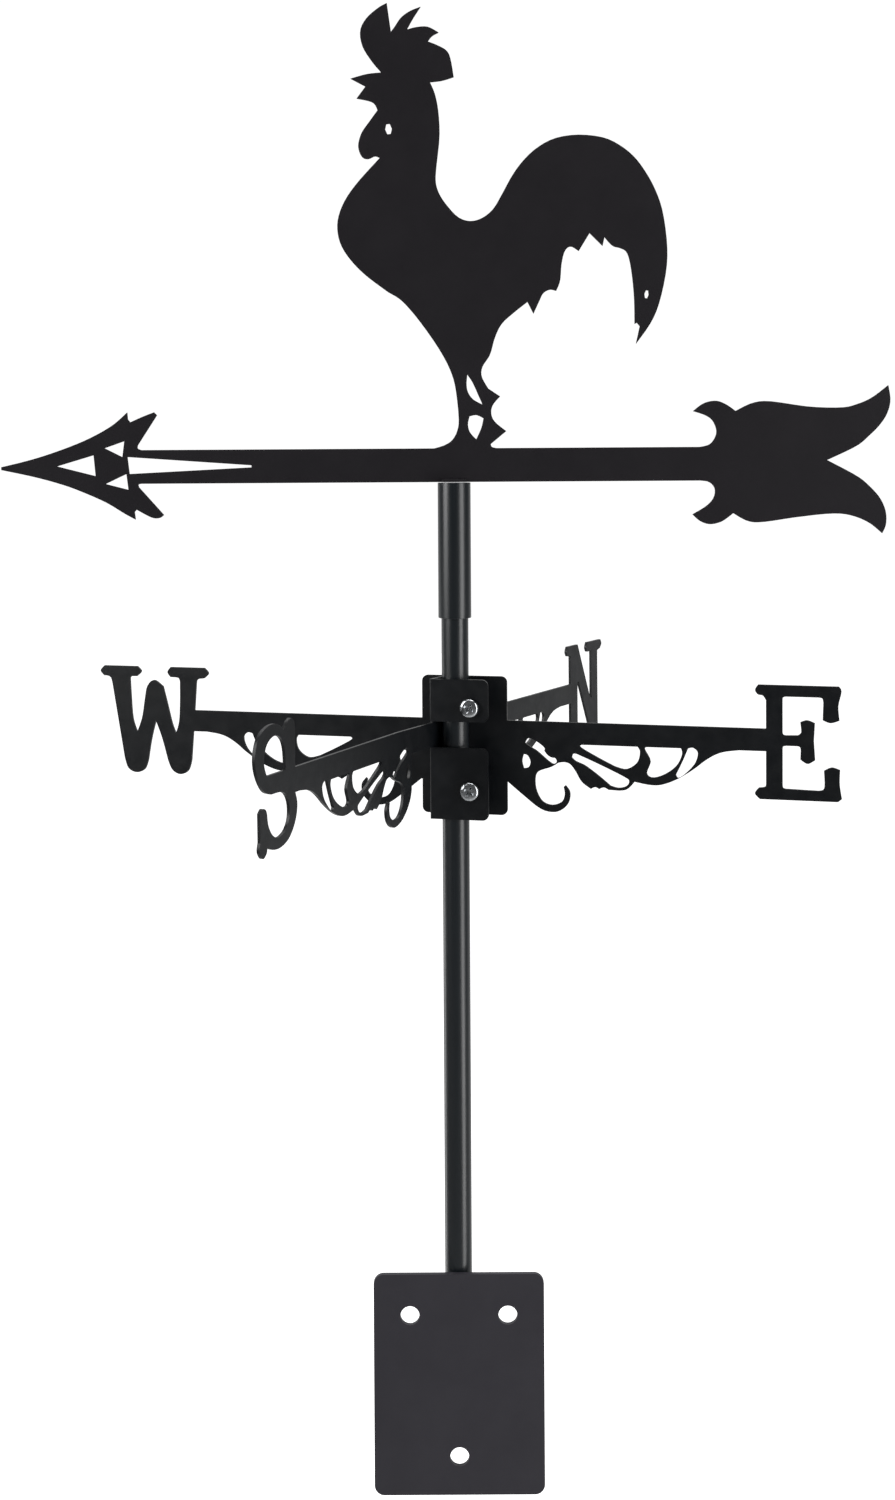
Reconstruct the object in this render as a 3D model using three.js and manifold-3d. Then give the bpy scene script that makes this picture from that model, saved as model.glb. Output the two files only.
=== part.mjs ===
// Rooster weather vane with a compass rose on a wall-fixed mast.
// Millimetres, +Z up. The origin is the centre of the base plate's mounting face, which faces -Y.
// The vane and the base plate lie parallel to XZ; the mast stands behind the base plate.

import * as THREE from 'three';
import { mergeVertices } from 'three/addons/utils/BufferGeometryUtils.js';
import Module from 'manifold-3d';

const wasm = await Module();
wasm.setup();

// ---------------------------------------------------------------- driving dimensions
const GAP = 0.3;                  // clearance left between parts that touch
const SHEET = 1.5;                // vane and compass sheet thickness

const PLATE = { width: 85, height: 110, thick: 2.5, corner: 5, holeR: 4.75 };
const PLATE_HOLES = [[-24.4, 34.5], [24.4, 34.5], [0, -36]];

const MAST_R = 6.8;
const MAST_WALL = 1.5;
const MAST_BOTTOM = -20;
const MAST_Y = PLATE.thick + GAP + MAST_R;

const VANE_Z = 450;               // underside of the arrow shaft
const SHAFT_H = 17;
const SLEEVE = { r: 8.3, wall: 1.2, length: 68 };
const SLEEVE_TOP = VANE_Z - GAP;
const PLUG_H = 7.5;
const SEAT = { r: 4.2, depth: 2.6 };   // conical seat turned into both plugs
const BALL_R = 4;

const ROSE_Z = 329.6;             // top edge of the four compass arms
const ROSE_YAW = -12.8;           // the rose as clamped, turned about the mast
const BAR_H = 11;
const ARM_ROOT_H = 31;
const HUB = { half: 22, top: 22, bottom: -48, corner: 3 };
const WE_CENTRE = 3.05;           // hub centre along the bar, measured from the mast axis
const NS_CENTRE = -3.2;
const SKEW = THREE.MathUtils.degToRad(16.6);  // the north-south bar stands this far out of square
const SOUTH_BEND = { at: -43, angle: 4.5 };   // the slight set in the south arm
const NS_RISE = THREE.MathUtils.degToRad(0.25);  // the north-south arms climb towards the north
const WE_RISE = THREE.MathUtils.degToRad(-0.25); // and the west-east arms towards the east
const SHEET_OFF = MAST_R + GAP + SHEET / 2;   // sheet mid-plane to mast axis

// Along the north-south bar, from the mast's foot point to the west-east sheet and to the tabs' fold.
const CROSSING_AT = SHEET_OFF * (1 - Math.sin(SKEW)) / Math.cos(SKEW);
const FOLD_AT = SHEET_OFF * (1 + Math.sin(SKEW)) / Math.cos(SKEW);

const TAB = { right: 18.5, corner: 3 };
const TAB_UPPER = [0.8, HUB.top];
const TAB_LOWER = [-12.2, HUB.bottom];
const CLAMP_X = 9.2;
const CLAMP_UPPER_Z = 8;
const CLAMP_LOWER_Z = -33.5;
const SCREW = { r: 2, headR: 4.9, headH: 3, nutFlats: 7, nutH: 3.2, proud: 1.6 };
const RECESS = { span: 4.6, width: 1.1, depth: 1.6, turn: 0.4 };   // cross recess, turn in radians

// ---------------------------------------------------------------- materials
function finish(color, roughness, metalness) {
  return new THREE.MeshStandardMaterial({ color, roughness, metalness });
}

const blackPowder = () => finish(0x1b1b1c, 0.62, 0.1);
const rosePowder = () => finish(0x1d1f22, 0.55, 0.1);
const mastPaint = () => finish(0x24282b, 0.4, 0.3);
const platePaint = () => finish(0x2c2b2e, 0.5, 0.2);
const zinc = () => finish(0xb9bcc0, 0.32, 0.95);
const steel = () => finish(0x9a9da1, 0.3, 1);

// ---------------------------------------------------------------- outline helpers
const line = (...points) => ({ smooth: false, points });
const curve = (...points) => ({ smooth: true, points });

// Draws a closed outline: straight edges and smooth stretches, mirrored in X when side is -1.
function trace(path, side, start, ...stretches) {
  path.moveTo(side * start[0], start[1]);
  for (const { smooth, points } of stretches) {
    const at = points.map(([x, y]) => new THREE.Vector2(side * x, y));
    if (smooth) path.splineThru(at);
    else at.forEach((p) => path.lineTo(p.x, p.y));
  }
  path.closePath();
  return path;
}

const outline = (...args) => trace(new THREE.Shape(), 1, ...args);
const opening = (side, ...args) => trace(new THREE.Path(), side, ...args);

function roundedRect(x0, y0, x1, y1, r) {
  const s = new THREE.Shape();
  s.absarc(x1 - r, y1 - r, r, 0, Math.PI / 2);
  s.absarc(x0 + r, y1 - r, r, Math.PI / 2, Math.PI);
  s.absarc(x0 + r, y0 + r, r, Math.PI, 1.5 * Math.PI);
  s.absarc(x1 - r, y0 + r, r, 1.5 * Math.PI, 2 * Math.PI);
  s.closePath();
  return s;
}

const roundHole = (x, y, r) => new THREE.Path().absellipse(x, y, r, r, 0, 2 * Math.PI, true);
const slotHole = (x, y, rx, ry, turn) => new THREE.Path()
  .absellipse(x, y, rx, ry, 0, 2 * Math.PI, true, turn);

// ---------------------------------------------------------------- solid helpers
// Extrudes a shape along +Z. The outline is put counter-clockwise first, so that the openings
// are turned the other way whichever way they were drawn.
function extrude(shape, depth, segments) {
  const { shape: edge, holes } = shape.extractPoints(segments);
  const sampled = new THREE.Shape(THREE.ShapeUtils.isClockWise(edge) ? edge.reverse() : edge);
  sampled.holes = holes.map((hole) => new THREE.Path(hole));
  return new THREE.ExtrudeGeometry(sampled, { depth, bevelEnabled: false });
}

// Stands a shape drawn in (x, z) upright, with its mid-plane on y = 0.
const upright = (shape, thick, segments = 3) => extrude(shape, thick, segments).rotateX(Math.PI / 2)
  .translate(0, thick / 2, 0);

// Extrudes a plan drawn in (x, y) from z0 up to z1.
const column = (shape, z0, z1, segments = 6) => extrude(shape, z1 - z0, segments).translate(0, 0, z0);

function lathe(profile, segments = 48) {
  const g = new THREE.LatheGeometry(profile.map(([r, z]) => new THREE.Vector2(r, z)), segments);
  return g.rotateX(Math.PI / 2);
}

function tube(r, wall, z0, z1) {
  const inner = r - wall;
  return lathe([[inner, z0], [r, z0], [r, z1], [inner, z1], [inner, z0]]);
}

function solid(geometry) {
  const g = geometry.clone();
  g.deleteAttribute('normal');
  g.deleteAttribute('uv');
  const merged = mergeVertices(g, 1e-4);
  return new wasm.Manifold(new wasm.Mesh({
    numProp: 3,
    vertProperties: new Float32Array(merged.attributes.position.array),
    triVerts: new Uint32Array(merged.index.array),
  }));
}

function toGeometry(manifold) {
  const mesh = manifold.getMesh();
  const g = new THREE.BufferGeometry();
  g.setAttribute('position', new THREE.BufferAttribute(new Float32Array(mesh.vertProperties), 3));
  g.setIndex(new THREE.BufferAttribute(new Uint32Array(mesh.triVerts), 1));
  const flat = g.toNonIndexed();
  flat.computeVertexNormals();
  return flat;
}

const join = (...geometries) => toGeometry(geometries.map(solid).reduce((a, b) => a.add(b)));
const cut = (body, ...tools) => toGeometry(tools.map(solid).reduce((a, b) => a.subtract(b), solid(body)));

// ---------------------------------------------------------------- vane
const ARROW_TIP = [-228, 7.3];

const headUpper = () => [
  line([-228, 8.8]),
  curve([-217, 11.4], [-207, 14.2], [-194.5, 18.5], [-183, 23.3], [-172, 29.5], [-164.5, 36]),
  line([-164.2, 32.5], [-163, 31]),
  curve([-157, 33.7], [-151, 36]),
  line([-149.5, 34.5], [-159.3, 19.3]),
  curve([-159.3, 17.8], [-157.5, SHAFT_H]),
];

const headLower = () => [
  line([-157.5, 0]),
  curve([-159, -0.4], [-158.8, -1.7]),
  line([-146.2, -15.8]),
  curve([-148.5, -17.3], [-152.5, -17], [-160, -13]),
  line([-161, -14.2], [-160.5, -18]),
  curve([-166, -15], [-175, -9.5], [-186, -4.5], [-196.5, -0.5], [-211, 3.6], ARROW_TIP),
];

const body = () => [
  line([-10, SHAFT_H]),
  curve([-5, 18.5], [-1, 21], [1.6, 25.5], [2.5, 32], [1, 47], [-1.5, 56], [-6, 65], [-12.5, 75],
    [-20, 85], [-26.5, 92], [-32.5, 95.7]),
  curve([-43.5, 104], [-51, 111.5], [-56, 119], [-58, 126.5], [-57.5, 134], [-54, 142.5],
    [-47.5, 151.5], [-36.5, 163.5]),
];

const face = () => [
  curve([-39, 164.3], [-42, 163], [-44.8, 163.5], [-46.7, 166.3], [-47.3, 170.5], [-45.5, 176.3],
    [-41.5, 182], [-37.5, 187.5]),
  curve([-40, 191.5], [-48, 193.5]),
  line([-43.5, 199.5], [-51, 203.5]),
  curve([-43, 205.7], [-35.5, 206.5]),
];

const comb = () => [
  curve([-40.5, 212.5], [-45, 220], [-46, 227.5], [-43, 233.7], [-37, 239], [-32.5, 241.5]),
  line([-30.5, 227]),
  curve([-28.5, 229.7], [-25.5, 234], [-21, 237.3], [-15.5, 239.5]),
  curve([-19.3, 233.7], [-22.5, 228]),
  curve([-18, 229.2], [-12, 229.4], [-6.5, 226.5]),
  curve([-9.8, 224.7], [-12, 222]),
  curve([-7, 220], [-2.5, 217.3], [-0.5, 213], [1, 204]),
  curve([-5, 202.2], [-11, 201.5]),
];

const back = () => [
  curve([-8.5, 195.5], [-6.8, 186.5], [-6.3, 174], [-8, 158.5], [-8.3, 151], [-6.5, 145], [-2.5, 139],
    [3, 133.3], [9, 131.4], [15, 133], [20.5, 137.5], [25, 145], [30, 154], [35.5, 161.5], [42.5, 168],
    [51.5, 172.8], [63, 174.6], [75.5, 173.3], [84, 169.5], [91.5, 163.5], [97.5, 155.5],
    [102.5, 146], [106, 135], [108, 119], [107.5, 106], [104, 90], [99.5, 79.5], [92, 69]),
];

const tail = () => [
  line([94, 78], [92.5, 79.7], [91.4, 79]),
  curve([91.2, 93], [89.8, 107], [87.8, 115], [84.5, 117.3], [81, 118.3], [78.5, 120.5], [76.5, 123]),
  line([75.5, 118.5], [69, 125], [63.5, 116]),
  curve([59.5, 118.3], [56.5, 116], [54.8, 109.5], [54, 101], [52, 96]),
  curve([48.8, 96.6], [45.5, 94.8], [43.3, 90.5], [40.5, 84.5]),
  line([37.5, 90.5]),
  curve([30.5, 85], [24.5, 79.5], [21, 72.5], [18.5, 64], [14.7, 58], [14.3, 53], [17.5, 47]),
];

const spurs = () => [
  line([23.5, 43]),
  curve([19.7, 38.5], [19, 34], [21, 30], [26.5, 25.5]),
  line([18.6, 19]),
  curve([19.2, 17.6], [21.5, SHAFT_H]),
];

const flightsUpper = () => [
  line([124, SHAFT_H]),
  curve([128.7, 18.2], [131.5, 21.5], [132.3, 25.5], [130.3, 30.3], [126.5, 33], [120.5, 35]),
  curve([126, 39], [132, 40.2], [137, 38.5], [142, 35]),
  curve([150.5, 39], [159.5, 39.8], [179, 37], [195.5, 36.5], [203.5, 38.2], [211, 41.5], [219, 47.5]),
  curve([220, 40], [218.3, 33.3], [214.5, 27.5], [209, 22], [202.5, 16.8], [188, 10]),
];

const flightsLower = () => [
  curve([202.5, 2.2], [209, -3], [214.5, -9.3], [217.3, -16], [217.4, -22.5], [215.5, -27]),
  curve([209, -21.7], [200, -18], [190, -17], [172.5, -18.7], [156, -21], [148, -20.6], [140.5, -16.5]),
  curve([135, -20.5], [129, -22], [124, -20.5], [120, -17]),
  curve([127, -12.8], [130.7, -8.7], [131.3, -4], [128.5, -0.8], [124, 0]),
];

function vaneShape() {
  const shape = outline(ARROW_TIP, ...headUpper(), ...body(), ...face(), ...comb(), ...back(), ...tail(),
    ...spurs(), ...flightsUpper(), ...flightsLower(), ...headLower());
  const legUpper = opening(1, [7, 54], curve([6.6, 49], [7.4, 45], [10, 41.5], [14.5, 39]),
    line([12.3, 44]), curve([9.6, 50], [7, 54]));
  const legLower = opening(1, [8, 33], curve([11.5, 33.6], [15, 32]),
    curve([13.8, 27], [11.3, 21.5]), curve([8.2, 25], [7.2, 29], [8, 33]));
  const tip = opening(1, [-200, 9], line([-181.5, 14.5], [-180.5, 4]));
  const barbUpper = opening(1, [-176, 18], line([-166, 21.5], [-167, 13.5]));
  const barbLower = opening(1, [-175.5, 0], line([-165, 5], [-164, -3]));
  const taper = opening(1, [-164.5, 13.5], line([-102, 9], [-102, 8], [-163.5, 5]));
  shape.holes.push(slotHole(-32, 178, 1.7, 3, 0.1), slotHole(97.5, 94, 1.1, 2.3, -0.15));
  shape.holes.push(legUpper, legLower, tip, barbUpper, barbLower, taper);
  return shape;
}

const vanePlate = () => upright(vaneShape(), SHEET).translate(0, 0, VANE_Z);

const vaneSleeve = () => tube(SLEEVE.r, SLEEVE.wall, SLEEVE_TOP - SLEEVE.length, SLEEVE_TOP);

const seatAngle = Math.atan2(SEAT.r, SEAT.depth);
const apexToBall = (BALL_R + GAP) / Math.sin(seatAngle);
const SLEEVE_PLUG_Z = SLEEVE_TOP - PLUG_H;
const BALL_Z = SLEEVE_PLUG_Z + SEAT.depth - apexToBall;
const MAST_PLUG_TOP = BALL_Z - apexToBall + SEAT.depth;

function sleevePlug() {
  const r = SLEEVE.r - SLEEVE.wall - GAP;
  return lathe([[0, SLEEVE_PLUG_Z + SEAT.depth], [SEAT.r, SLEEVE_PLUG_Z], [r, SLEEVE_PLUG_Z],
    [r, SLEEVE_TOP], [0, SLEEVE_TOP]]);
}

const pivotBall = () => new THREE.SphereGeometry(BALL_R, 20, 12).rotateX(Math.PI / 2)
  .translate(0, 0, BALL_Z);

// A fillet of weld between the shaft's underside and the top of the sleeve, on one face of the sheet.
function vaneWeld(side) {
  const near = SHEET / 2 + GAP;
  const size = 1.8;
  const shape = new THREE.Shape([[near, 0], [near + size, 0], [near + 0.6 * size, 0.6 * size], [near, size]]
    .map(([x, y]) => new THREE.Vector2(side * x, y)));
  return column(shape, -6.5, 6.5).rotateZ(Math.PI / 2).rotateY(Math.PI / 2).translate(0, 0, VANE_Z);
}

// ---------------------------------------------------------------- mast and base plate
const MAST_TOP = MAST_PLUG_TOP - 5 - GAP;

const mastTube = () => tube(MAST_R, MAST_WALL, MAST_BOTTOM, MAST_TOP);

function mastPlug() {
  const shank = MAST_R - MAST_WALL - GAP;
  const head = MAST_R - GAP;
  return lathe([[0, MAST_TOP - 12], [shank, MAST_TOP - 12], [shank, MAST_TOP + GAP], [head, MAST_TOP + GAP],
    [head, MAST_PLUG_TOP], [SEAT.r, MAST_PLUG_TOP], [0, MAST_PLUG_TOP - SEAT.depth]]);
}

function basePlate() {
  const { width, height, corner, holeR, thick } = PLATE;
  const shape = roundedRect(-width / 2, -height / 2, width / 2, height / 2, corner);
  PLATE_HOLES.forEach(([x, z]) => shape.holes.push(roundHole(x, z, holeR)));
  return upright(shape, thick, 12).translate(0, thick / 2, 0);
}

// A fillet of weld filling the corner between the mast and the back of the base plate.
function mastWeld(side) {
  const r = MAST_R + GAP;
  const floor = -MAST_R;
  const start = Math.asin(floor / r);
  const end = -0.45;
  const steps = 6;
  const hollow = Array.from({ length: steps + 1 }, (_, i) => start + (end - start) * i / steps)
    .map((a) => [r * Math.cos(a), r * Math.sin(a)]);
  const toe = [[8.6, floor + 0.8], [8.6, floor]];
  const shape = new THREE.Shape([...hollow, ...toe].map(([x, y]) => new THREE.Vector2(side * x, y)));
  return column(shape, MAST_BOTTOM + 4, PLATE.height / 2 - 4);
}

// ---------------------------------------------------------------- compass rose
// How an arm meets the hub: full depth, or cut back to the bar where the tabs need the room.
const FULL_ROOT = [curve([54.1, -35], [53.5, -40], [50.3, -43.7], [45.5, -45.3], [39, -43.8], [30.5, -37.5],
  [22.5, -ARM_ROOT_H]), line([6, -ARM_ROOT_H])];
const CUT_ROOT = [curve([54.1, -35], [53.5, -40], [50.3, -43.7], [45.5, -45.3], [39, -43.8], [33.5, -39.5],
  [30, -34.5], [28.5, -30]), line([28.5, -BAR_H - 1], [6, -BAR_H - 1])];

// One arm, drawn to the right from the hub; its top edge is z = 0 and end lies inside the letter.
function armShape(side, end, root = FULL_ROOT) {
  const shape = trace(new THREE.Shape(), side, [6, 0],
    line([end, 0], [end, -BAR_H]),
    line([138, -BAR_H]),
    curve([131, -12], [126, -13.8], [121, -17], [116, -21], [108, -26.2], [100.5, -29.3], [94.5, -29.8],
      [86.5, -28.5]),
    curve([84.8, -30.6], [82.3, -32.6], [79, -33.2]),
    line([73.5, -33]),
    curve([71.2, -31.9], [68.8, -32.8]),
    curve([66.8, -31.9], [64.6, -32.9]),
    curve([60, -29.5], [57, -24.5], [54.3, -21], [51.3, -20], [48.3, -20.4]),
    curve([44.5, -22.7], [38.3, -25], [36.5, -28.5], [37, -34.5], [40, -40], [45, -41.8], [49.8, -40],
      [51.4, -36.3], [50.9, -32.4]),
    line([51.8, -31.6]),
    ...root);
  shape.holes.push(...scrollwork(side));
  return shape;
}

const scrollwork = (side) => [
  opening(side, [30.5, -16.7], curve([32.5, -17.2], [34, -20.3], [33, -23.2], [30.6, -23.9]),
    curve([29.7, -20.3], [30.5, -16.7])),
  opening(side, [31.2, -11], curve([33, -8.6], [37, -10], [41, -13], [41, -14.6]),
    curve([42.8, -16.8], [44.8, -17.9], [46.5, -18]), curve([47.4, -19.7], [45.8, -21.2], [43, -19.6]),
    curve([37.5, -15], [34.8, -13.4], [31.2, -11])),
  opening(side, [55, -17.5], curve([55.7, -15.7], [57.3, -15.6]),
    curve([69, -20.5], [81.5, -26.3], [83.8, -28.3], [82.3, -30.9], [78.5, -31.9], [74.5, -31]),
    curve([69, -26.5], [62, -21.5], [57, -19.3], [55, -17.5])),
  opening(side, [60, -BAR_H], line([88, -BAR_H]),
    curve([89.2, -13.5], [87.8, -18.8], [82.5, -22.4], [76.5, -21.2]),
    curve([68.5, -17.3], [59.6, -12.4], [60, -BAR_H])),
  opening(side, [92.5, -BAR_H], line([109.5, -BAR_H]),
    curve([110, -14], [107.3, -19.7], [101.5, -24.2], [95.5, -26.1], [92.6, -24], [94.5, -18],
      [91.6, -12.2],
      [92.5, -BAR_H])),
  opening(side, [113, -BAR_H],
    curve([115.5, -10.6], [117.8, -13], [116.3, -18.3], [112, -23.2], [108.3, -25.8], [107, -24.3]),
    curve([110.3, -17.5], [113, -BAR_H])),
];

const letterE = () => outline([151, 14],
  curve([149.5, 16.2], [147, 16.8], [145.7, 19], [147.2, 21.5]), line([186, 21.5]),
  curve([187.2, 19], [185.7, 12], [186.2, 5]), curve([182, 3.7], [178.2, 5]), line([178.5, 13.5]),
  curve([178, 15.6], [176, 16]), line([160.5, 16]), curve([159.3, 15.6], [159, 14.5]), line([159, -1.5]),
  curve([159.3, -2.6], [160.5, -3]), line([166.3, -2.8]), curve([167.9, -1.2], [167.5, 3.7]),
  curve([170.8, 4.7], [174.5, 3.4]), line([174, -5.5], [174.6, -14.6]), curve([171, -16.5], [167.5, -14.5]),
  line([167.7, -10]), curve([167.3, -8.4], [166, -8]), line([160.5, -8]), curve([159.3, -8.4], [159, -9.5]),
  line([159, -27.5]), curve([159.3, -28.7], [160.5, -29.1]), line([176.3, -29.5]),
  curve([178.9, -28], [178.8, -19.6]), curve([182.5, -17.9], [186.5, -19]),
  curve([186.3, -26], [187.3, -33]),
  line([185.5, -34.5], [148, -34.5]), curve([145.6, -31.8], [147.5, -29]), line([149.5, -28.8]),
  curve([150.7, -28.3], [151, -27]));

const letterN = () => outline([152.5, 16.5],
  line([148.5, 16.5]), curve([147.2, 19], [148.7, 22]), line([162, 22], [179.3, -12.3], [180.6, -11]),
  line([180.6, 16.5], [175, 16.5]), curve([173.6, 19], [175.2, 22]), line([193.3, 22]),
  curve([194.7, 19.5], [192.7, 17]), line([188.8, 16], [188.8, -34.5], [181.3, -34.5], [163.2, 0.4]),
  line([161.3, 0.4], [161.3, -29.2], [165.5, -29.5]), curve([167, -32], [165.5, -34.5]),
  line([148.5, -34.5]), curve([147, -32], [148.5, -29.5]), line([152.5, -29.2]));

const letterW = () => outline([-195.5, 22.3],
  line([-177, 22.3]), curve([-174.7, 19.7], [-177, 17.1]), line([-180, 17]),
  curve([-180.9, 16.3], [-181, 15]), curve([-180.5, 7], [-179.5, -5], [-177, -12.5]),
  curve([-174.2, -4.5], [-172.7, 5], [-171.3, 12], [-167.5, 15.3], [-162.5, 12]),
  curve([-160.2, 3.5], [-157.5, -7], [-155.3, -12.5]), curve([-153.5, -6], [-153, 4], [-153, 15]),
  curve([-153.7, 16.6], [-155.3, 17]), line([-158.3, 17.1]), curve([-160, 19.7], [-158.3, 22.3]),
  line([-139.5, 22.3]), curve([-137.2, 19.5], [-139.5, 16.9]), line([-142, 16.6]),
  curve([-143.6, 15.8], [-144, 13.8]), line([-145.3, -8], [-146.6, -26.5]),
  curve([-148.5, -32], [-153, -33.8], [-157.3, -31.6], [-159.7, -26.5]), curve([-163, -15], [-166.5, -6]),
  curve([-169, -16], [-170.8, -27]), curve([-172.8, -32], [-177.5, -33.7], [-182, -31.5], [-184, -26]),
  curve([-186.5, -12], [-189, 2], [-190.8, 12.5]), curve([-191.7, 15.8], [-193.5, 16.9], [-195.5, 17]),
  curve([-197.6, 19.6], [-195.5, 22.3]));

function letterS() {
  const s = outline([-136, 0], line([-142, 0], [-142, 17]),
    curve([-143, 20.4], [-145.5, 21.8], [-149, 20.4], [-151.5, 17.3]),
    curve([-155, 20], [-159.5, 21.3], [-165, 21], [-170.3, 18.9], [-174, 15.5], [-175.9, 10], [-175.6, 4.5],
      [-173, -1.3], [-168.5, -6.3], [-162.7, -8.4]),
    curve([-154.5, -8.7], [-150, -10.8], [-147.4, -15.5], [-147.6, -21.5], [-151, -26], [-157, -27.8],
      [-162, -25.7], [-165.3, -21], [-166.3, -16]),
    curve([-167.5, -14], [-170, -13.3], [-172.2, -15]), line([-172, -27]),
    curve([-172.8, -31], [-170, -34.4], [-167, -32.8], [-166.3, -30.6]),
    curve([-161, -32.3], [-154.5, -32.4], [-147.5, -29.7], [-142.2, -23.5], [-140.3, -16.5],
      [-142, -BAR_H]),
    line([-136, -BAR_H]));
  s.holes.push(opening(1, [-166.3, 0], curve([-168.3, 4.5], [-168.2, 9], [-165.5, 13.8], [-159.7, 16.2],
    [-154, 14.3], [-151, 9], [-150.2, 0])));
  return s;
}

// Flat sheet shapes of one bar, moved so that the hub is centred where it belongs along the bar.
function barSheet(shapes, centre) {
  return join(...shapes.map((shape) => upright(shape, SHEET))).translate(centre, 0, 0);
}

function westEastBar() {
  const hub = roundedRect(-HUB.half, HUB.bottom, HUB.half, HUB.top, HUB.corner);
  const arms = barSheet([armShape(1, 153), letterE(), armShape(-1, 149), letterW()], WE_CENTRE)
    .rotateY(-WE_RISE);
  const sheet = join(barSheet([hub], WE_CENTRE), arms).translate(0, SHEET_OFF, 0);
  const slotX = -SHEET_OFF * Math.cos(SKEW) + CROSSING_AT * Math.sin(SKEW);
  const slotW = SHEET / Math.cos(SKEW) + SHEET * Math.tan(SKEW) + 2 * GAP;
  const depth = GAP - HUB.bottom + 2;
  const slot = new THREE.BoxGeometry(slotW, 8, depth).translate(slotX, SHEET_OFF, GAP - depth / 2);
  return cut(sheet, slot, clampHole(CLAMP_UPPER_Z, SHEET_OFF), clampHole(CLAMP_LOWER_Z, SHEET_OFF));
}

function clampHole(z, y) {
  const g = new THREE.CylinderGeometry(SCREW.r + GAP, SCREW.r + GAP, 6, 24);
  return g.translate(CLAMP_X, y, z);
}

// The north-south sheet before its tabs: flat, apart from the slight set in the south arm.
function northSouthSheet() {
  const front = CROSSING_AT - (SHEET + GAP);
  const web = outline([-FOLD_AT, HUB.bottom],
    line([front, HUB.bottom], [front, HUB.top], [-FOLD_AT, HUB.top]));
  const north = barSheet([armShape(1, 155), letterN()], NS_CENTRE).rotateY(-NS_RISE);
  const south = barSheet([armShape(-1, 138, CUT_ROOT), letterS()], NS_CENTRE).rotateY(-NS_RISE);
  return join(north, upright(web, SHEET), bentAt(south, SOUTH_BEND.at, SOUTH_BEND.angle));
}

// Turns everything left of x = at about the upright line there.
function bentAt(geometry, at, angle) {
  const overlap = 0.1;
  const whole = solid(geometry).translate([-at, 0, 0]);
  const near = whole.trimByPlane([1, 0, 0], -overlap);
  const far = whole.trimByPlane([-1, 0, 0], -overlap).rotate([0, 0, angle]);
  return toGeometry(near.add(far).translate([at, 0, 0]));
}

// A tab folded off the web: it lies along +X in front of the mast, parallel to the west-east bar.
function tab([z0, z1]) {
  const low = Math.min(z0, z1);
  const high = Math.max(z0, z1);
  const r = TAB.corner;
  const face = new THREE.Shape();
  face.moveTo(-FOLD_AT, low);
  face.lineTo(TAB.right - r, low);
  face.absarc(TAB.right - r, low + r, r, -Math.PI / 2, 0);
  face.absarc(TAB.right - r, high - r, r, 0, Math.PI / 2);
  face.lineTo(-FOLD_AT, high);
  face.closePath();
  const knuckle = new THREE.CylinderGeometry(SHEET / 2, SHEET / 2, high - low, 20).rotateX(Math.PI / 2)
    .translate(-FOLD_AT, 0, (low + high) / 2);
  return join(upright(face, SHEET), knuckle).translate(0, -SHEET_OFF, 0);
}

function northSouthBar() {
  const sheet = northSouthSheet().translate(0, SHEET_OFF, 0).rotateZ(Math.PI / 2 - SKEW);
  const tabs = join(sheet, tab(TAB_UPPER), tab(TAB_LOWER));
  return cut(tabs, clampHole(CLAMP_UPPER_Z, -SHEET_OFF), clampHole(CLAMP_LOWER_Z, -SHEET_OFF));
}

// ---------------------------------------------------------------- clamp screws and nuts
const HEAD_FACE = -(SHEET_OFF + SHEET / 2 + GAP);
const NUT_FACE = SHEET_OFF + SHEET / 2 + GAP;
const SCREW_END = NUT_FACE + SCREW.nutH + SCREW.proud;

// Axis along +Y with the head in front of the tab.
function clampScrew(z) {
  const { r, headR, headH } = SCREW;
  const length = SCREW_END - HEAD_FACE;
  const profile = [[0, -headH], [2.2, -headH * 0.97], [3.6, -headH * 0.8], [4.5, -headH * 0.5],
    [headR, -headH * 0.15], [headR, 0], [r, 0], [r, length - 0.6], [r - 0.6, length], [0, length]];
  const screw = lathe(profile, 32);
  const { span, width, depth, turn } = RECESS;
  const wing = (angle) => new THREE.BoxGeometry(span, width, 2 * depth).rotateZ(angle)
    .translate(0, 0, -headH);
  const recessed = cut(screw, wing(turn), wing(turn + Math.PI / 2));
  return recessed.rotateX(-Math.PI / 2).translate(CLAMP_X, HEAD_FACE, z);
}

function clampNut(z) {
  const hex = new THREE.Shape(Array.from({ length: 6 }, (_, i) => {
    const a = (i + 0.5) * Math.PI / 3;
    const r = SCREW.nutFlats / 2 / Math.cos(Math.PI / 6);
    return new THREE.Vector2(r * Math.cos(a), r * Math.sin(a));
  }));
  hex.holes.push(roundHole(0, 0, SCREW.r + GAP));
  return extrude(hex, SCREW.nutH, 12).rotateX(-Math.PI / 2).translate(CLAMP_X, NUT_FACE, z);
}

// ---------------------------------------------------------------- assembly
const part = new THREE.Group();
part.name = 'weather_vane';

function place(name, geometry, material, { y = MAST_Y, z = 0, turn = 0 } = {}) {
  const mesh = new THREE.Mesh(geometry, material);
  mesh.name = name;
  mesh.position.set(0, y, z);
  mesh.rotation.z = THREE.MathUtils.degToRad(turn);
  part.add(mesh);
}

const onRose = { z: ROSE_Z, turn: ROSE_YAW };

place('base_plate', basePlate(), platePaint(), { y: 0 });
place('mast_tube', mastTube(), mastPaint());
place('mast_weld_left', mastWeld(-1), platePaint());
place('mast_weld_right', mastWeld(1), platePaint());
place('mast_plug', mastPlug(), steel());
place('pivot_ball', pivotBall(), steel());

place('vane_plate', vanePlate(), blackPowder());
place('vane_sleeve', vaneSleeve(), mastPaint());
place('sleeve_plug', sleevePlug(), steel());
place('vane_weld_front', vaneWeld(-1), blackPowder());
place('vane_weld_rear', vaneWeld(1), blackPowder());

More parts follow.
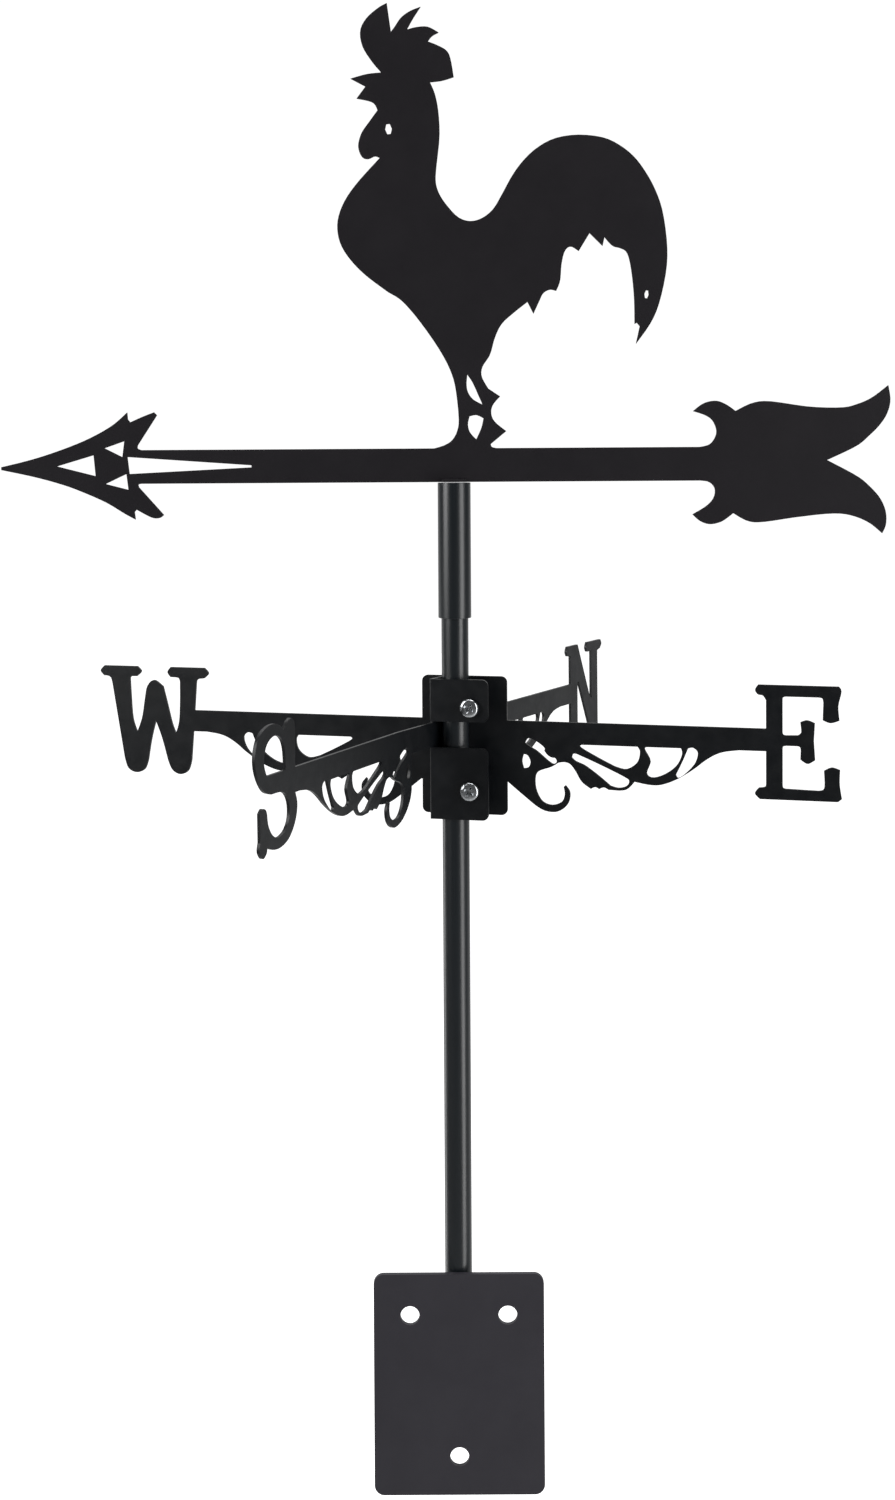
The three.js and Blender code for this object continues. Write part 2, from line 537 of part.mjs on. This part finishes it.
place('west_east_bar', westEastBar(), rosePowder(), onRose);
place('north_south_bar', northSouthBar(), rosePowder(), onRose);
place('clamp_screw_upper', clampScrew(CLAMP_UPPER_Z), zinc(), onRose);
place('clamp_screw_lower', clampScrew(CLAMP_LOWER_Z), zinc(), onRose);
place('clamp_nut_upper', clampNut(CLAMP_UPPER_Z), zinc(), onRose);
place('clamp_nut_lower', clampNut(CLAMP_LOWER_Z), zinc(), onRose);

export default part;
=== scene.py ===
# Looks of the rooster weather vane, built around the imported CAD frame. Metres, +Z up.
import math

import bmesh
import bpy
from mathutils import Matrix, Vector, noise


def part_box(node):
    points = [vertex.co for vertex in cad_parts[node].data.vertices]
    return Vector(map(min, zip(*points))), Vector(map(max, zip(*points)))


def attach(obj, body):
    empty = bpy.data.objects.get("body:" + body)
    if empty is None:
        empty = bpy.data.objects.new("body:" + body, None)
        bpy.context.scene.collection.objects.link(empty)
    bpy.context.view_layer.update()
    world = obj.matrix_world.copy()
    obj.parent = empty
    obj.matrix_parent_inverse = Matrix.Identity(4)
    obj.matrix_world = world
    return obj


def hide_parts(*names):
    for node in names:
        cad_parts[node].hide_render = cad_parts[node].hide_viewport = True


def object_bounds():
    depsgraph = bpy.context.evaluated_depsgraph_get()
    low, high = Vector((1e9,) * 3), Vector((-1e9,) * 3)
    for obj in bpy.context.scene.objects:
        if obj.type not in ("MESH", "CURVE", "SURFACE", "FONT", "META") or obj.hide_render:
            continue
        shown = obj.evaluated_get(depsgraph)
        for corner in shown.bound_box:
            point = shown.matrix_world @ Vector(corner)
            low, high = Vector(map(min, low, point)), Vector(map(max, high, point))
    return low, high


# ------------------------------------------------------------------ named values
FLOOR_DROP = 0.6            # the vane hangs on a wall, this far above the floor
ROOM_FRONT = 0.16           # light that the room gives the object from the front,
ROOM_BACK = 0.75            # and from the sweep behind it; the camera sees both white
CAMERA_AT = (-0.0032, -0.9231, 0.4694)
CAMERA_LENS = 44.42         # mm on a 36 mm long side
CAMERA_SHIFT_Y = -0.2043
CAMERA_ROLL = 0.0058        # radians

SHEET_EDGE = 0.00022        # rounding left on cut sheet by the powder
ROSE_EDGE = 0.0004
PLATE_EDGE = 0.0006
TUBE_EDGE = 0.0003

ROSE_YAW = -12.8            # degrees that the compass is turned about the mast
HEAD_R = 0.0049
HEAD_H = 0.003
HEAD_EDGE = 0.00007
SCREW_R = 0.002
RECESS = (0.0028, 0.0006)   # half the length and half the width of a wing of the cross
RECESS_DEPTH = 0.0019
RECESS_LIFT = 0.0006        # how far above the head a wing starts
RECESS_TURN = 0.45          # radians
SCREW_PITCH = 0.0007
THREAD_DEPTH = 0.55         # share of the pitch
THREAD_TIP = 0.0007         # length over which the thread runs out
THREAD_SIDES = 40
THREAD_STEPS = 9            # rings to a turn
NUT_BORE_R = 0.0021
NUT_CHAMFER = 0.0005
NUT_EDGE = 0.00008
ROUND_SIDES = 72            # points in a ring of a head or a nut

BEAD_STEP = 0.00022         # length of a weld bead between two rings
BEAD_END = 0.0012           # length over which each end of a bead swells
BEAD_POINTS = 14
RIPPLE_PITCH = 0.0014       # one ripple of a weld bead
RIPPLE_HEIGHT = 0.00016
WOBBLE = 0.00012

FLAT_ANGLE = 0.4            # degrees; faces that turn by less are joined
SHARP_ANGLE = 42            # degrees; edges of a CAD solid that turn by more are rounded
SMOOTH_ANGLE = 35           # degrees; edges that turn by less are shaded smooth


# ------------------------------------------------------------------ materials
def new_material(name, base, rough, metallic=0.0, specular=0.5):
    mat = bpy.data.materials.new(name)
    mat.use_nodes = True
    shader = mat.node_tree.nodes["Principled BSDF"]
    shader.inputs["Base Color"].default_value = (*base, 1)
    shader.inputs["Roughness"].default_value = rough
    shader.inputs["Metallic"].default_value = metallic
    shader.inputs["Specular IOR Level"].default_value = specular
    return mat, mat.node_tree.nodes, mat.node_tree.links, shader


def object_noise(nodes, links, scale, detail=2.0, stretch=(1, 1, 1)):
    """Noise in the object's own coordinates; scale is features per metre."""
    coords = nodes.new("ShaderNodeTexCoord")
    mapping = nodes.new("ShaderNodeMapping")
    mapping.inputs["Scale"].default_value = stretch
    links.new(coords.outputs["Object"], mapping.inputs["Vector"])
    tex = nodes.new("ShaderNodeTexNoise")
    tex.inputs["Scale"].default_value = scale
    tex.inputs["Detail"].default_value = detail
    links.new(mapping.outputs["Vector"], tex.inputs["Vector"])
    return tex.outputs["Fac"]


def remap(nodes, links, value, low, high):
    """Spreads the middle of a noise value over the range from low to high."""
    node = nodes.new("ShaderNodeMapRange")
    node.inputs["From Min"].default_value = 0.3
    node.inputs["From Max"].default_value = 0.7
    node.inputs["To Min"].default_value = low
    node.inputs["To Max"].default_value = high
    links.new(value, node.inputs["Value"])
    return node.outputs["Result"]


def tint(nodes, links, value, dark, light):
    """A colour between dark and light that follows a noise value."""
    ramp = nodes.new("ShaderNodeValToRGB")
    ramp.color_ramp.elements[0].position = 0.35
    ramp.color_ramp.elements[0].color = (*dark, 1)
    ramp.color_ramp.elements[1].position = 0.65
    ramp.color_ramp.elements[1].color = (*light, 1)
    links.new(value, ramp.inputs["Fac"])
    return ramp.outputs["Color"]


def bump(nodes, links, height, distance, strength, before=None):
    node = nodes.new("ShaderNodeBump")
    node.inputs["Distance"].default_value = distance
    node.inputs["Strength"].default_value = strength
    links.new(height, node.inputs["Height"])
    if before:
        links.new(before, node.inputs["Normal"])
    return node.outputs["Normal"]


def powder(name, dark, light, rough, specular, peel=0.00004):
    """Baked powder coat: a fine grain over a slow orange peel, with the shade drifting a little."""
    mat, nodes, links, shader = new_material(name, light, rough, specular=specular)
    drift = object_noise(nodes, links, 42, 3)
    links.new(tint(nodes, links, drift, dark, light), shader.inputs["Base Color"])
    patches = object_noise(nodes, links, 160, 2)
    links.new(remap(nodes, links, patches, rough - 0.05, rough + 0.06), shader.inputs["Roughness"])
    slow = bump(nodes, links, object_noise(nodes, links, 520, 1), peel, 0.6)
    fine = bump(nodes, links, object_noise(nodes, links, 2600, 1), peel / 3, 0.5, slow)
    links.new(fine, shader.inputs["Normal"])
    return mat


def tube_paint(name, dark, light, rough, specular):
    """Satin paint over drawn tube: faint lines along the tube and a light peel."""
    mat, nodes, links, shader = new_material(name, light, rough, specular=specular)
    drift = object_noise(nodes, links, 60, 2, (1, 1, 0.25))
    links.new(tint(nodes, links, drift, dark, light), shader.inputs["Base Color"])
    streaks = object_noise(nodes, links, 700, 2, (1, 1, 0.02))
    links.new(remap(nodes, links, streaks, rough - 0.03, rough + 0.04), shader.inputs["Roughness"])
    lines = bump(nodes, links, streaks, 0.00001, 0.4)
    peel = bump(nodes, links, object_noise(nodes, links, 800, 1), 0.00002, 0.4, lines)
    links.new(peel, shader.inputs["Normal"])
    return mat


def plated(name, dark, light, rough):
    """Bright zinc plating: a crystalline drift in shade and gloss, with fine turning marks."""
    mat, nodes, links, shader = new_material(name, light, rough, metallic=1.0)
    drift = object_noise(nodes, links, 900, 3)
    links.new(tint(nodes, links, drift, dark, light), shader.inputs["Base Color"])
    gloss = object_noise(nodes, links, 2200, 2)
    links.new(remap(nodes, links, gloss, rough - 0.07, rough + 0.1), shader.inputs["Roughness"])
    links.new(bump(nodes, links, gloss, 0.00001, 0.4), shader.inputs["Normal"])
    return mat


def turned_steel(name):
    """Bare turned steel, with rings round the object's Z axis."""
    mat, nodes, links, shader = new_material(name, (0.45, 0.46, 0.48), 0.3, metallic=1.0)
    rings = object_noise(nodes, links, 300, 1, (1, 1, 12))
    links.new(remap(nodes, links, rings, 0.22, 0.38), shader.inputs["Roughness"])
    links.new(bump(nodes, links, rings, 0.00001, 0.5), shader.inputs["Normal"])
    return mat


def make_materials():
    return {
        "vane_powder": powder(
            "vane_powder", (0.0074, 0.0066, 0.008), (0.0085, 0.0076, 0.0091), 0.6, 0.1),
        "rose_powder": powder(
            "rose_powder", (0.0008, 0.0013, 0.002), (0.0012, 0.0018, 0.0027), 0.4, 0.26),
        "mast_paint": tube_paint(
            "mast_paint", (0.0026, 0.0042, 0.0056), (0.0036, 0.0055, 0.0072), 0.3, 0.42),
        "plate_paint": powder(
            "plate_paint", (0.0198, 0.0187, 0.0232), (0.022, 0.0209, 0.0257), 0.46, 0.2, 0.00003),
        "zinc": plated("zinc", (0.3, 0.315, 0.33), (0.46, 0.475, 0.49), 0.15),
        "bright_steel": turned_steel("bright_steel"),
    }


# ------------------------------------------------------------------ mesh helpers
def link_object(name, mesh, mat):
    obj = bpy.data.objects.new(name, mesh)
    obj.data.materials.append(mat)
    bpy.context.scene.collection.objects.link(obj)
    return obj


def soften(bm, angle=SMOOTH_ANGLE):
    """Smooth shading, kept sharp along edges that turn by more than the angle in degrees."""
    limit = math.radians(angle)
    for f in bm.faces:
        f.smooth = True
    for e in bm.edges:
        e.smooth = len(e.link_faces) == 2 and e.calc_face_angle(0) < limit


def round_edges(bm, edge, angle):
    """Joins flat faces, rounds every edge that turns by more than the angle, and shades the rest."""
    flat = math.radians(FLAT_ANGLE)
    limit = math.radians(angle)
    bmesh.ops.dissolve_limit(bm, angle_limit=flat, verts=bm.verts, edges=bm.edges)
    sharp = [e for e in bm.edges if len(e.link_faces) == 2 and e.calc_face_angle(0) > limit]
    bmesh.ops.bevel(bm, geom=sharp, offset=edge, offset_type="OFFSET", segments=2, profile=0.5,
                    affect="EDGES", clamp_overlap=True)
    soften(bm)


def refined(node, name, mat, edge):
    """The CAD solid again, with flat faces made whole and its sharp edges rounded."""
    bm = bmesh.new()
    bm.from_mesh(node.data)
    bmesh.ops.remove_doubles(bm, verts=bm.verts, dist=1e-6)
    round_edges(bm, edge, SHARP_ANGLE)
    mesh = bpy.data.meshes.new(name)
    bm.to_mesh(mesh)
    bm.free()
    piece = link_object(name, mesh, mat)
    even_normals(piece)
    return piece


def grid_solid(rows, name, mat, angle=40):
    """A closed tube from equal rings of points, with its two ends filled."""
    bm = bmesh.new()
    rings = [[bm.verts.new(p) for p in row] for row in rows]
    count = len(rings[0])
    for a, b in zip(rings, rings[1:]):
        for i in range(count):
            j = (i + 1) % count
            bm.faces.new((a[i], a[j], b[j], b[i]))
    bm.faces.new(rings[0][::-1])
    bm.faces.new(rings[-1])
    bmesh.ops.recalc_face_normals(bm, faces=bm.faces)
    soften(bm, angle)
    mesh = bpy.data.meshes.new(name)
    bm.to_mesh(mesh)
    bm.free()
    return link_object(name, mesh, mat)


def ring(radius, height, count):
    steps = [2 * math.pi * i / count for i in range(count)]
    return [Vector((radius * math.cos(a), radius * math.sin(a), height)) for a in steps]


def apply_boolean(obj, other, operation):
    """Cuts or intersects a mesh with another solid, which is then removed."""
    mod = obj.modifiers.new("cut", "BOOLEAN")
    mod.operation = operation
    mod.object = other
    mod.solver = "EXACT"
    view = bpy.context.evaluated_depsgraph_get()
    mesh = bpy.data.meshes.new_from_object(obj.evaluated_get(view))
    obj.modifiers.clear()
    obj.data = mesh
    bpy.data.objects.remove(other)


def even_normals(obj):
    """Large flat faces keep one normal right up to their rounded edges."""
    mod = obj.modifiers.new("even", "WEIGHTED_NORMAL")
    mod.weight = 100
    mod.keep_sharp = True


def finish_edges(obj, edge, angle):
    """Rounds the sharp edges of a finished object in place."""
    bm = bmesh.new()
    bm.from_mesh(obj.data)
    round_edges(bm, edge, angle)
    bm.to_mesh(obj.data)
    bm.free()


def merge_into(obj, other):
    """Adds the other object's shell to this one's mesh."""
    bm = bmesh.new()
    bm.from_mesh(obj.data)
    bm.from_mesh(other.data)
    bm.to_mesh(obj.data)
    bm.free()
    bpy.data.objects.remove(other)
    return obj


def place_mesh(obj, matrix):
    obj.data.transform(matrix)
    obj.data.update()
    return obj


# ------------------------------------------------------------------ screws and nuts
def screw_frame(node):
    """Frame of a CAD screw, +Z along its shank from the underside of its head, and its length."""
    yaw = Matrix.Rotation(math.radians(ROSE_YAW), 4, "Z")
    turn = yaw @ Matrix.Rotation(-math.pi / 2, 4, "X")
    inverse = turn.inverted()
    points = [inverse @ v.co for v in node.data.vertices]
    middle = [(min(p[i] for p in points) + max(p[i] for p in points)) / 2 for i in (0, 1)]
    face = min(p.z for p in points) + HEAD_H
    length = max(p.z for p in points) - face
    return turn @ Matrix.Translation((middle[0], middle[1], face)), length


def recess_wing(mat, turn):
    """One tapered wing of the cross recess, cutting from above the head down into it."""
    long, thin = RECESS
    mouth = [(-long, -thin), (long, -thin), (long, thin), (-long, thin)]
    rows = [[Vector((x * 1.06, y * 1.1, -RECESS_LIFT)) for x, y in mouth],
            [Vector((x * 0.4, y * 0.7, RECESS_DEPTH)) for x, y in mouth]]
    wing = grid_solid(rows, "wing", mat)
    return place_mesh(wing, Matrix.Translation((0, 0, -HEAD_H)) @ Matrix.Rotation(turn, 4, "Z"))


def screw_head(name, mat):
    """A pan head: nearly flat on top, with a tight round down to its rim."""
    profile = [(0.02, 1.0), (0.4, 0.995), (0.62, 0.975), (0.76, 0.93), (0.85, 0.86), (0.92, 0.74),
               (0.965, 0.58), (0.99, 0.38), (1.0, 0.16), (0.99, 0.04), (0.96, 0.0), (0.3, 0.0)]
    rings = [ring(HEAD_R * r, -HEAD_H * z, ROUND_SIDES) for r, z in profile]
    head = grid_solid(rings, name, mat)
    for turn in (RECESS_TURN, RECESS_TURN + math.pi / 2):
        apply_boolean(head, recess_wing(mat, turn), "DIFFERENCE")
    finish_edges(head, HEAD_EDGE, SMOOTH_ANGLE)
    return head


def threaded_shank(name, mat, length):
    """A cylinder whose radius follows a helical ridge, run out at the tip."""
    depth = THREAD_DEPTH * SCREW_PITCH
    steps = int(length / SCREW_PITCH * THREAD_STEPS)
    rows = []
    for k in range(steps + 1):
        z = length * k / steps
        tip = min(1.0, (length - z) / THREAD_TIP)
        row = []
        for i in range(THREAD_SIDES):
            a = 2 * math.pi * i / THREAD_SIDES
            phase = (z / SCREW_PITCH - a / (2 * math.pi)) % 1
            groove = abs(2 * phase - 1)
            r = SCREW_R - depth * groove
            r = min(r, SCREW_R - depth + depth * tip)
            row.append(Vector((r * math.cos(a), r * math.sin(a), z)))
        rows.append(row)
    return grid_solid(rows, name, mat, angle=75)


def make_screw(node, name, mat):
    """The head and the threaded shank as one mesh, where the CAD screw is."""
    matrix, length = screw_frame(node)
    head = screw_head(name, mat)
    shank = threaded_shank(name + "_shank", mat, length)
    return place_mesh(merge_into(head, shank), matrix)


def make_nut(node, name, mat, axis_frame):
    """Hexagon with both faces chamfered towards the corners."""
    inverse = axis_frame.inverted()
    along = [inverse @ v.co for v in node.data.vertices]
    z0, z1 = min(p.z for p in along), max(p.z for p in along)
    corner = max(math.hypot(p.x, p.y) for p in along)
    far = max(along, key=lambda p: math.hypot(p.x, p.y))
    turn = math.atan2(far.y, far.x)
    flats = corner * math.cos(math.pi / 6)
    profile = [(NUT_BORE_R, z0), (flats * 0.97, z0), (corner * 1.02, z0 + NUT_CHAMFER),
               (corner * 1.02, z1 - NUT_CHAMFER), (flats * 0.97, z1), (NUT_BORE_R, z1)]
    nut = grid_solid([ring(r, z, ROUND_SIDES) for r, z in profile], name, mat)
    hexagon = [ring(corner, z, 6) for z in (z0 - 0.001, z1 + 0.001)]
    prism = place_mesh(grid_solid(hexagon, "prism", mat), Matrix.Rotation(turn, 4, "Z"))
    apply_boolean(nut, prism, "INTERSECT")
    finish_edges(nut, NUT_EDGE, 25)
    return place_mesh(nut, axis_frame)


# ------------------------------------------------------------------ weld beads
def bead_point(axis, others, along, across):
    """A point from its place along the bead and its two places across it."""
    point = Vector((0.0, 0.0, 0.0))
    point[axis] = along
    point[others[0]], point[others[1]] = across
    return point


def weld_bead(node, name, mat, axis, inward):
    """A rippled bead filling the corner that the CAD fillet fills; axis runs along it."""
    lo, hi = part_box(node)
    start, end = lo[axis], hi[axis]
    others = [i for i in range(3) if i != axis]
    corner = [lo[i] if inward[k] < 0 else hi[i] for k, i in enumerate(others)]
    size = [hi[i] - lo[i] for i in others]
    steps = max(24, int((end - start) / BEAD_STEP))
    rows = []
    for k in range(steps + 1):
        s = start + (end - start) * k / steps
        ends = min(1.0, min(s - start, end - s) / BEAD_END)
        swell = math.sqrt(max(0.0, 1 - (1 - ends) ** 2)) * 0.92 + 0.08
        row = []
        for i in range(BEAD_POINTS):
            t = i / (BEAD_POINTS - 1)
            bow = math.sin(math.pi * t)
            phase = ((s - start) / RIPPLE_PITCH + 0.45 * bow) % 1
            ripple = RIPPLE_HEIGHT * bow * (1 - phase) ** 0.7
            wobble = WOBBLE * noise.noise(Vector((s * 700, t * 2, start * 90)))
            u, v = math.cos(math.pi / 2 * t), math.sin(math.pi / 2 * t)
            reach = 0.78 + 0.2 * bow
            out_u = size[0] * u * reach + (ripple + wobble) * u
            out_v = size[1] * v * reach + (ripple + wobble) * v
            across = (corner[0] - inward[0] * swell * out_u, corner[1] - inward[1] * swell * out_v)
            row.append(bead_point(axis, others, s, across))
        row.append(bead_point(axis, others, s, corner))
        rows.append(row)
    return grid_solid(rows, name, mat, angle=60)


# ------------------------------------------------------------------ pieces of the object
def refine_sheets(frame, mats):
    """The sheets, the tube and the sleeve: each CAD solid with rounded edges."""
    jobs = [
        ("vane_plate", "vane", "vane_powder", SHEET_EDGE),
        ("west_east_bar", "rose", "rose_powder", ROSE_EDGE),
        ("north_south_bar", "rose", "rose_powder", ROSE_EDGE),
        ("base_plate", "base", "plate_paint", PLATE_EDGE),
        ("vane_sleeve", "vane", "mast_paint", TUBE_EDGE),
        ("mast_tube", "base", "mast_paint", TUBE_EDGE),
    ]
    for name, body, slot, edge in jobs:
        piece = refined(frame["nodes"][name], name + "_coated", mats[slot], edge)
        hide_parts(name)
        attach(piece, body)


def make_fasteners(frame, mats):
    for end in ("upper", "lower"):
        screw_node = frame["nodes"]["clamp_screw_" + end]
        nut_node = frame["nodes"]["clamp_nut_" + end]
        axis_frame, _ = screw_frame(screw_node)
        screw = make_screw(screw_node, "screw_" + end, mats["zinc"])
        nut = make_nut(nut_node, "nut_" + end, mats["zinc"], axis_frame)
        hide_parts("clamp_screw_" + end)
        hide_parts("clamp_nut_" + end)
        for piece in (screw, nut):
            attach(piece, "rose")


def make_welds(mats):
    jobs = [
        ("mast_weld_left", "base", "plate_paint", 2, (1, -1)),
        ("mast_weld_right", "base", "plate_paint", 2, (-1, -1)),
        ("vane_weld_front", "vane", "vane_powder", 0, (1, -1)),
        ("vane_weld_rear", "vane", "vane_powder", 0, (-1, -1)),
    ]
    for node, body, slot, axis, inward in jobs:
        bead = weld_bead(node, node + "_bead", mats[slot], axis, inward)
        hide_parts(node)
        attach(bead, body)


def coat_hidden_parts(frame, mats):
    for name in ("mast_plug", "pivot_ball", "sleeve_plug"):
        frame["nodes"][name].data.materials[0] = mats["bright_steel"]


# ------------------------------------------------------------------ stage, light, camera
def camera_sees(nodes, links, white, level):
    """The given light level for everything in the room, and plain white for the camera."""
    path = nodes.new("ShaderNodeLightPath")
    mix = nodes.new("ShaderNodeMix")
    links.new(path.outputs["Is Camera Ray"], mix.inputs["Factor"])
    links.new(level, mix.inputs["A"])
    mix.inputs["B"].default_value = white
    return mix.outputs["Result"]


def along_y(nodes, links, output, start, end, low, high):
    """A level that rises smoothly with the Y of one texture coordinate."""
    coords = nodes.new("ShaderNodeTexCoord")
    split = nodes.new("ShaderNodeSeparateXYZ")
    links.new(coords.outputs[output], split.inputs["Vector"])
    level = nodes.new("ShaderNodeMapRange")
    level.interpolation_type = "SMOOTHSTEP"
    level.inputs["From Min"].default_value = start
    level.inputs["From Max"].default_value = end
    level.inputs["To Min"].default_value = low
    level.inputs["To Max"].default_value = high
    links.new(split.outputs["Y"], level.inputs["Value"])
    return level.outputs["Result"]


def make_floor(low):
    """A round floor under the object, brighter behind it than in front."""
    mat, nodes, links, shader = new_material("studio_floor", (0.6, 0.6, 0.6), 0.9, specular=0.1)
    shader.inputs["Emission Color"].default_value = (1, 1, 1, 1)
    level = along_y(nodes, links, "Object", 0.3, 1.2, 0.04, 0.5)
    links.new(camera_sees(nodes, links, 1.0, level), shader.inputs["Emission Strength"])
    bm = bmesh.new()
    bmesh.ops.create_circle(bm, cap_ends=True, segments=96, radius=9)
    mesh = bpy.data.meshes.new("floor")
    bm.to_mesh(mesh)
    bm.free()
    floor = link_object("floor", mesh, mat)
    floor.location = (0, 0, low - FLOOR_DROP)


def make_world():
    """The room: dim from the front and bright behind."""
    world = bpy.data.worlds.new("studio")
    bpy.context.scene.world = world
    world.use_nodes = True
    nodes, links = world.node_tree.nodes, world.node_tree.links
    background = nodes["Background"]
    background.inputs["Color"].default_value = (1, 1, 1, 1)
    level = along_y(nodes, links, "Generated", 0.4, 0.64, ROOM_FRONT, ROOM_BACK)
    links.new(camera_sees(nodes, links, 1.05, level), background.inputs["Strength"])


def softbox(name, at, target, width, height, radiance):
    """An area light of one radiance, turned to the target and hidden from the camera."""
    light = bpy.data.lights.new(name, "AREA")
    light.shape = "RECTANGLE"
    light.size = width
    light.size_y = height
    light.energy = radiance * math.pi * width * height
    obj = bpy.data.objects.new(name, light)
    obj.location = at
    obj.rotation_euler = (Vector(target) - Vector(at)).to_track_quat("-Z", "Y").to_euler()
    obj.visible_camera = False
    bpy.context.scene.collection.objects.link(obj)


def around(azimuth, distance, height):
    """A point at an azimuth in degrees from the camera side, positive to the right."""
    a = math.radians(azimuth)
    return (distance * math.sin(a), -distance * math.cos(a), height)


def make_lights():
    softbox("upper_left", around(-64, 1.25, 0.84), (0, 0, 0.84), 0.72, 1.0, 9)
    softbox("lower_left", around(-124, 1.25, -0.2), (0, 0, -0.2), 0.35, 0.84, 2.5)
    softbox("right", around(54, 1.25, 0.35), (0, 0, 0.35), 0.58, 1.9, 6.6)
    softbox("overhead", (0.1, 0.4, 2.1), (0, 0, 0.3), 1.6, 1.6, 6)


def make_camera():
    data = bpy.data.cameras.new("camera")
    data.lens = CAMERA_LENS
    data.sensor_width = 36
    data.shift_y = CAMERA_SHIFT_Y
    data.clip_start = 0.01
    data.clip_end = 60
    camera = bpy.data.objects.new("camera", data)
    camera.location = CAMERA_AT
    camera.rotation_euler = (math.pi / 2, CAMERA_ROLL, 0)
    bpy.context.scene.collection.objects.link(camera)
    bpy.context.scene.camera = camera


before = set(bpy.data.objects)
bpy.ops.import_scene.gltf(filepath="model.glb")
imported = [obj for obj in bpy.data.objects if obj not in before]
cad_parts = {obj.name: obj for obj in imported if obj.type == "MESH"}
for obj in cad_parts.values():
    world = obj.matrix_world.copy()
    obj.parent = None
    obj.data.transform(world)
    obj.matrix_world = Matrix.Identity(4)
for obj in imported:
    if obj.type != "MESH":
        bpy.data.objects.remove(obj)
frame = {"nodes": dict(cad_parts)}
cad_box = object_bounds()
mats = make_materials()
bpy.context.scene.view_settings.view_transform = "Standard"
refine_sheets(frame, mats)
make_fasteners(frame, mats)
make_welds(mats)
coat_hidden_parts(frame, mats)
make_floor(cad_box[0].z)
make_world()
make_lights()
make_camera()
